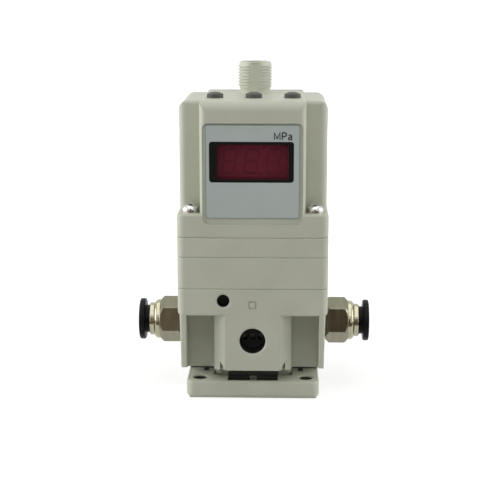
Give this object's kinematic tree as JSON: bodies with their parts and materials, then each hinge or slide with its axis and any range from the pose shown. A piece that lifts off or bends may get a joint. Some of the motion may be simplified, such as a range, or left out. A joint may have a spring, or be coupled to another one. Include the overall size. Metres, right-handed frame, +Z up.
{
  "type": "electro pneumatic regulator",
  "caption": "Electronic air pressure regulator: stacked square body with push-in tube fittings, exhaust ports, display cover with buttons and cable connector, on a mounting base.",
  "frame": {"origin": "centre of the underside of the mounting base", "axes": "+Z up, the display faces -Y, +X to the right of someone who reads the display"},
  "size_m": [0.0804, 0.05, 0.1114],
  "materials": {
    "casting": "pale grey satin paint on die cast aluminium",
    "cover_plastic": "pale grey moulded plastic",
    "label": "silver grey printed film",
    "bezel_black": "black",
    "lens_red": "dark red transparent filter",
    "button_rubber": "dark grey",
    "nickel": "nickel plated brass",
    "collar_black": "black",
    "screw_steel": "bright plated steel",
    "spring_steel": "steel",
    "brass": "turned brass",
    "seal_rubber": "black",
    "black_plastic": "black",
    "circuit_board": "green laminate"
  },
  "bodies": {
    "housing": {"mounting_base": "casting", "main_body": "casting", "bonnet": "casting", "pilot_plate": "casting", "cover": "cover_plastic", "connector_shell": "cover_plastic", "label_plate": "label", "window_bezel": "bezel_black", "display_module": "bezel_black", "window_lens": "lens_red", "left_fitting": "nickel", "right_fitting": "nickel", "cover_screws": "screw_steel", "base_screws": "screw_steel", "tie_screws": "screw_steel", "pilot_valve_screws": "screw_steel", "valve_spring": "spring_steel", "left_collet": "spring_steel", "right_collet": "spring_steel", "pressure_sensor": "spring_steel", "valve_cap": "brass", "connector_pins": "brass", "valve_cap_seals": "seal_rubber", "diaphragm": "seal_rubber", "bonnet_gasket": "seal_rubber", "connector_gasket": "seal_rubber", "cover_gasket": "seal_rubber", "left_tube_seal": "seal_rubber", "left_face_seal": "seal_rubber", "right_tube_seal": "seal_rubber", "right_face_seal": "seal_rubber", "supply_pilot_valve": "black_plastic", "exhaust_pilot_valve": "black_plastic", "left_tact_switch": "black_plastic", "middle_tact_switch": "black_plastic", "right_tact_switch": "black_plastic", "connector_insert": "black_plastic", "control_board": "circuit_board", "display_board": "circuit_board", "switch_board": "circuit_board"},
    "left_button": {"left_button": "button_rubber"},
    "middle_button": {"middle_button": "button_rubber"},
    "right_button": {"right_button": "button_rubber"},
    "left_collar": {"left_release_collar": "collar_black"},
    "right_collar": {"right_release_collar": "collar_black"},
    "main_valve": {"main_valve": "brass", "valve_seal": "seal_rubber"},
    "diaphragm_stack": {"lower_diaphragm_disc": "spring_steel", "upper_diaphragm_disc": "spring_steel", "diaphragm_nut": "spring_steel"}
  },
  "joints": [
    {"name": "left_button_press", "type": "slide", "parent": "housing", "child": "left_button", "axis": [0, 0, -1], "range_m": [0, 0.0007], "stiffness_N_per_m": 2000, "springref_m": -0.0003},
    {"name": "middle_button_press", "type": "slide", "parent": "housing", "child": "middle_button", "axis": [0, 0, -1], "range_m": [0, 0.0007], "stiffness_N_per_m": 2000, "springref_m": -0.0003},
    {"name": "right_button_press", "type": "slide", "parent": "housing", "child": "right_button", "axis": [0, 0, -1], "range_m": [0, 0.0007], "stiffness_N_per_m": 2000, "springref_m": -0.0003},
    {"name": "left_collar_release", "type": "slide", "parent": "housing", "child": "left_collar", "axis": [1, 0, 0], "range_m": [0, 0.0013]},
    {"name": "right_collar_release", "type": "slide", "parent": "housing", "child": "right_collar", "axis": [-1, 0, 0], "range_m": [0, 0.0013]},
    {"name": "main_valve_open", "type": "slide", "parent": "housing", "child": "main_valve", "axis": [0, 0, -1], "range_m": [0, 0.0015], "stiffness_N_per_m": 1500, "springref_m": -0.003, "deforming": ["valve_spring", "diaphragm"]},
    {"name": "diaphragm_lift", "type": "slide", "parent": "main_valve", "child": "diaphragm_stack", "axis": [0, 0, 1], "range_m": [0, 0.0008], "deforming": ["diaphragm"]}
  ]
}
